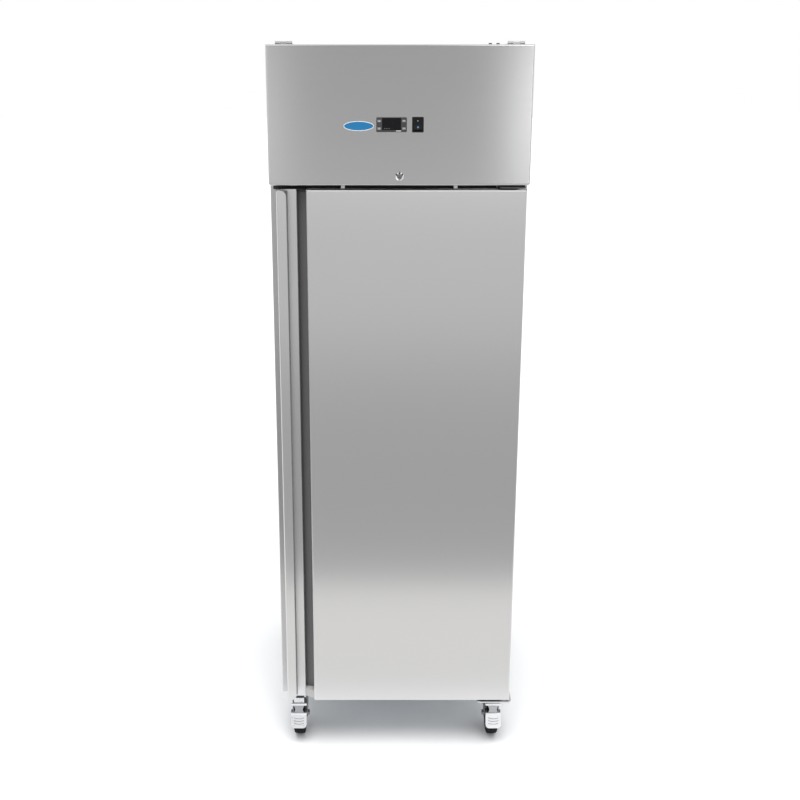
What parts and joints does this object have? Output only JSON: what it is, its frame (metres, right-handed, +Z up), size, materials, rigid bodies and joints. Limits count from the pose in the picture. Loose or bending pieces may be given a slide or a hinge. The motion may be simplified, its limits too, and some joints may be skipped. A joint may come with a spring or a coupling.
{
  "type": "reach-in refrigerator",
  "caption": "Upright stainless reach-in refrigerator with one hinged insulated door, a full-height recessed pull, a top-mounted cooling unit behind a flip-up header, wire shelves and casters.",
  "frame": {"origin": "on the floor under the middle of the cabinet's bounding box", "axes": "+Z up, -Y out of the door, +X to the right seen from in front"},
  "size_m": [0.686, 0.838, 2.051],
  "materials": {
    "stainless": "satin",
    "side_steel": "satin",
    "galvanised": "satin",
    "liner": "satin",
    "foam": "matte",
    "breaker": "matte",
    "shelf_wire": "satin",
    "evaporator_shell": "satin",
    "fins": "satin",
    "motor": "satin",
    "fan": "satin",
    "compressor_shell": "gloss",
    "copper": "satin",
    "electrical": "satin",
    "hinge_steel": "satin",
    "zinc": "satin",
    "gasket": "matte",
    "channel_dark": "satin",
    "cap_plastic": "satin",
    "nylon": "satin",
    "bezel": "satin",
    "window": "gloss",
    "keys": "satin",
    "switch_black": "satin",
    "badge_blue": "gloss",
    "chrome": "polished",
    "wheel_black": "matte",
    "gland_black": "matte"
  },
  "bodies": {
    "cabinet": {"side_panel_left": "side_steel", "side_panel_right": "side_steel", "back_panel": "galvanised", "rear_guard": "galvanised", "base_pan": "galvanised", "top_deck": "galvanised", "foam_insulation": "foam", "inner_liner": "liner", "breaker_frame": "breaker", "header_rail": "galvanised", "lower_hinge_bracket": "hinge_steel", "upper_hinge_bracket": "hinge_steel", "cabinet_screws": "zinc", "caster_plates": "zinc", "cord_gland": "gland_black", "shelf_supports": "zinc", "wire_shelf_top": "shelf_wire", "wire_shelf_middle": "shelf_wire", "wire_shelf_bottom": "shelf_wire", "evaporator_cover": "evaporator_shell", "evaporator_coil": "fins", "evaporator_fan_motor": "motor", "condenser_coil": "fins", "condenser_fan_shroud": "motor", "condenser_fan_motor": "motor", "compressor": "compressor_shell", "electrical_box": "electrical", "refrigerant_tubes": "copper"},
    "door": {"door_skin": "stainless", "door_foam": "foam", "door_inner_panel": "liner", "door_gasket": "gasket", "handle_rail": "stainless", "handle_channel": "channel_dark", "handle_end_caps": "cap_plastic", "door_hinge_bushes": "nylon"},
    "header": {"header_panel": "stainless", "controller_housing": "bezel", "controller_window": "window", "switch_housing": "switch_black", "badge_plate": "badge_blue", "lock_barrel": "chrome"},
    "rocker": {"switch_rocker": "switch_black"},
    "lock_cam": {"lock_cam": "chrome"},
    "condenser_fan": {"condenser_fan_blade": "fan"},
    "evaporator_fan": {"evaporator_fan_blade": "fan"},
    "key_1": {"controller_key_1": "keys"},
    "key_2": {"controller_key_2": "keys"},
    "key_3": {"controller_key_3": "keys"},
    "key_4": {"controller_key_4": "keys"},
    "fork_front_left": {"caster_fork_front_left": "zinc"},
    "wheel_front_left": {"caster_wheel_front_left": "wheel_black"},
    "fork_front_right": {"caster_fork_front_right": "zinc"},
    "wheel_front_right": {"caster_wheel_front_right": "wheel_black"},
    "fork_rear_left": {"caster_fork_rear_left": "zinc"},
    "wheel_rear_left": {"caster_wheel_rear_left": "wheel_black"},
    "fork_rear_right": {"caster_fork_rear_right": "zinc"},
    "wheel_rear_right": {"caster_wheel_rear_right": "wheel_black"},
    "pedal_left": {"brake_pedal_left": "chrome"},
    "pedal_right": {"brake_pedal_right": "chrome"}
  },
  "joints": [
    {"name": "door_hinge", "type": "hinge", "parent": "cabinet", "child": "door", "pos_m": [0.322, -0.393, 0.9], "axis": [0, 0, 1], "range_deg": [0, 115], "stiffness_Nm_per_rad": 0.6},
    {"name": "header_flap", "type": "hinge", "parent": "cabinet", "child": "header", "pos_m": [0, -0.387, 2.047], "axis": [-1, 0, 0], "range_deg": [0, 75]},
    {"name": "power_rocker", "type": "hinge", "parent": "header", "child": "rocker", "pos_m": [0.047, -0.408, 1.844], "axis": [1, 0, 0], "range_deg": [0, 16]},
    {"name": "lock_turn", "type": "hinge", "parent": "header", "child": "lock_cam", "pos_m": [0, -0.411, 1.711], "axis": [0, 1, 0], "range_deg": [0, 90]},
    {"name": "condenser_fan_spin", "type": "hinge", "parent": "cabinet", "child": "condenser_fan", "pos_m": [-0.112, -0.203, 1.865], "axis": [0, 1, 0], "continuous": true},
    {"name": "evaporator_fan_spin", "type": "hinge", "parent": "cabinet", "child": "evaporator_fan", "pos_m": [0, 0.053, 1.576], "axis": [0, 1, 0], "continuous": true},
    {"name": "key_press_1", "type": "slide", "parent": "header", "child": "key_1", "axis": [0, 1, 0], "range_m": [0, 0.0008], "stiffness_N_per_m": 400},
    {"name": "key_press_2", "type": "slide", "parent": "header", "child": "key_2", "axis": [0, 1, 0], "range_m": [0, 0.0008], "stiffness_N_per_m": 400},
    {"name": "key_press_3", "type": "slide", "parent": "header", "child": "key_3", "axis": [0, 1, 0], "range_m": [0, 0.0008], "stiffness_N_per_m": 400},
    {"name": "key_press_4", "type": "slide", "parent": "header", "child": "key_4", "axis": [0, 1, 0], "range_m": [0, 0.0008], "stiffness_N_per_m": 400},
    {"name": "swivel_front_left", "type": "hinge", "parent": "cabinet", "child": "fork_front_left", "pos_m": [-0.294, -0.269, 0.155], "axis": [0, 0, 1], "continuous": true},
    {"name": "roll_front_left", "type": "hinge", "parent": "fork_front_left", "child": "wheel_front_left", "pos_m": [-0.294, -0.305, 0.0635], "axis": [1, 0, 0], "continuous": true},
    {"name": "swivel_front_right", "type": "hinge", "parent": "cabinet", "child": "fork_front_right", "pos_m": [0.294, -0.269, 0.155], "axis": [0, 0, 1], "continuous": true},
    {"name": "roll_front_right", "type": "hinge", "parent": "fork_front_right", "child": "wheel_front_right", "pos_m": [0.294, -0.305, 0.0635], "axis": [1, 0, 0], "continuous": true},
    {"name": "swivel_rear_left", "type": "hinge", "parent": "cabinet", "child": "fork_rear_left", "pos_m": [-0.294, 0.337, 0.155], "axis": [0, 0, 1], "continuous": true},
    {"name": "roll_rear_left", "type": "hinge", "parent": "fork_rear_left", "child": "wheel_rear_left", "pos_m": [-0.294, 0.301, 0.0635], "axis": [1, 0, 0], "continuous": true},
    {"name": "swivel_rear_right", "type": "hinge", "parent": "cabinet", "child": "fork_rear_right", "pos_m": [0.294, 0.337, 0.155], "axis": [0, 0, 1], "continuous": true},
    {"name": "roll_rear_right", "type": "hinge", "parent": "fork_rear_right", "child": "wheel_rear_right", "pos_m": [0.294, 0.301, 0.0635], "axis": [1, 0, 0], "continuous": true},
    {"name": "brake_left", "type": "hinge", "parent": "fork_front_left", "child": "pedal_left", "pos_m": [-0.294, -0.327, 0.133], "axis": [1, 0, 0], "range_deg": [0, 8]},
    {"name": "brake_right", "type": "hinge", "parent": "fork_front_right", "child": "pedal_right", "pos_m": [0.294, -0.327, 0.133], "axis": [1, 0, 0], "range_deg": [0, 8]}
  ]
}
